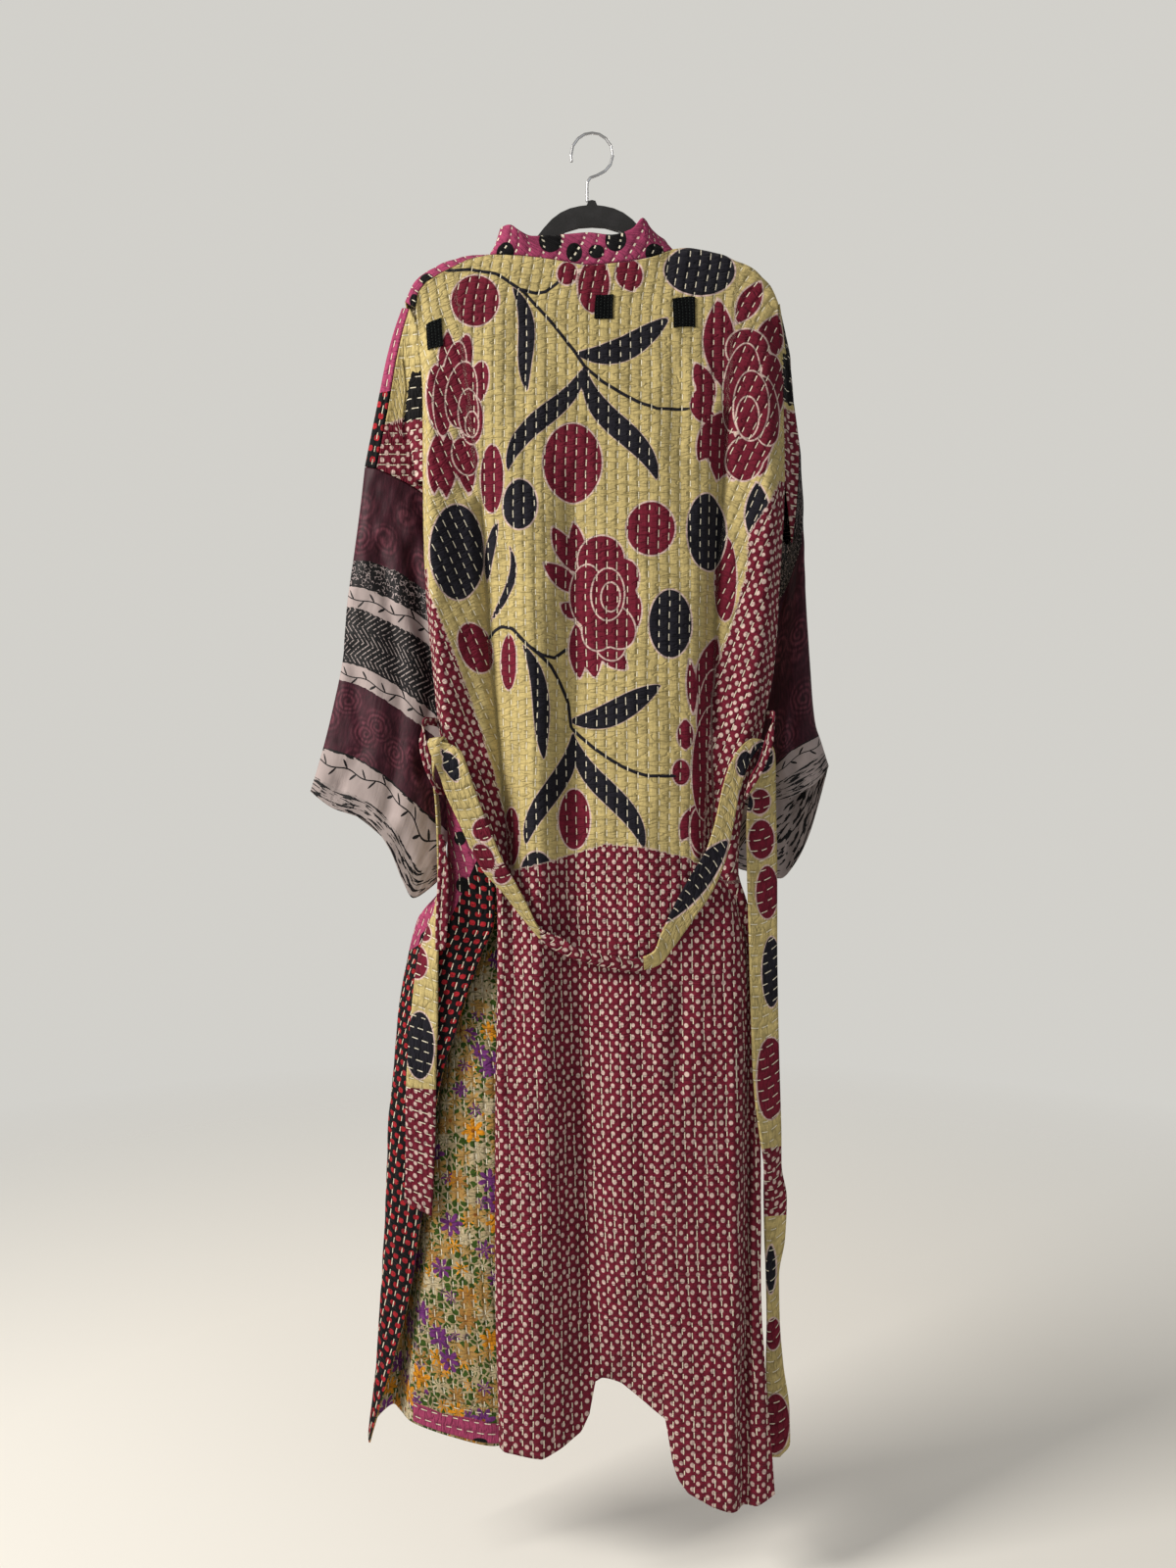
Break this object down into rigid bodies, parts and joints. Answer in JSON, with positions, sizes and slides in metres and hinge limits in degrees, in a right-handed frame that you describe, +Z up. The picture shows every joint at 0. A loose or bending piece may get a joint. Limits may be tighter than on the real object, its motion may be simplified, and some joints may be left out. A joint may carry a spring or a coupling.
{
  "type": "kimono coat on a hanger",
  "caption": "Long open kimono coat of hand quilted cotton with printed silk sleeves, a tie belt in side loops, hung on a slim hanger with a wire hook.",
  "frame": {"origin": "inside top of the hanger's hook, where it hangs on a rail or peg", "axes": "+X across the shoulders towards the wearer's right, +Y from the coat's back to its front, +Z up"},
  "size_m": [0.6114, 0.116, 1.565],
  "materials": {
    "back_panel": "quilted cotton, khaki beige print, maroon with white dots below",
    "left_front": "quilted cotton, pink with black spots, check and floral lower down",
    "right_front": "quilted cotton, maroon with white dots",
    "neck_band": "quilted cotton band, pink with black spots",
    "left_upper_sleeve_back": "quilted cotton, khaki beige print",
    "left_upper_sleeve_front": "quilted cotton, pink with black spots",
    "right_upper_sleeve_back": "quilted cotton, khaki beige print",
    "right_upper_sleeve_front": "quilted cotton, black ground print",
    "left_silk_sleeve": "thin printed silk, maroon and black bands",
    "right_silk_sleeve": "thin printed silk, maroon and black bands",
    "belt": "quilted cotton tie belt, beige and maroon print",
    "left_belt_loop": "narrow cotton strip",
    "right_belt_loop": "narrow cotton strip",
    "side_tie": "narrow cotton tie",
    "patch_neck": "hand sewn patch",
    "patch_right_shoulder": "hand sewn patch",
    "patch_left_armhole": "hand sewn patch",
    "patch_left_sleeve": "hand sewn patch",
    "left_front_hem_facing": "quilted cotton strip, pink with black spots",
    "hanger_body": "black flocked",
    "hanger_hook": "thin bright wire"
  },
  "bodies": {
    "root": {"back_panel": "back_panel", "left_front": "left_front", "right_front": "right_front", "neck_band": "neck_band", "left_upper_sleeve_back": "left_upper_sleeve_back", "left_upper_sleeve_front": "left_upper_sleeve_front", "right_upper_sleeve_back": "right_upper_sleeve_back", "right_upper_sleeve_front": "right_upper_sleeve_front", "left_silk_sleeve": "left_silk_sleeve", "right_silk_sleeve": "right_silk_sleeve", "belt": "belt", "left_belt_loop": "left_belt_loop", "right_belt_loop": "right_belt_loop", "side_tie": "side_tie", "patch_neck": "patch_neck", "patch_right_shoulder": "patch_right_shoulder", "patch_left_armhole": "patch_left_armhole", "patch_left_sleeve": "patch_left_sleeve", "left_front_hem_facing": "left_front_hem_facing", "hanger_body": "hanger_body", "hanger_hook": "hanger_hook"}
  },
  "joints": []
}
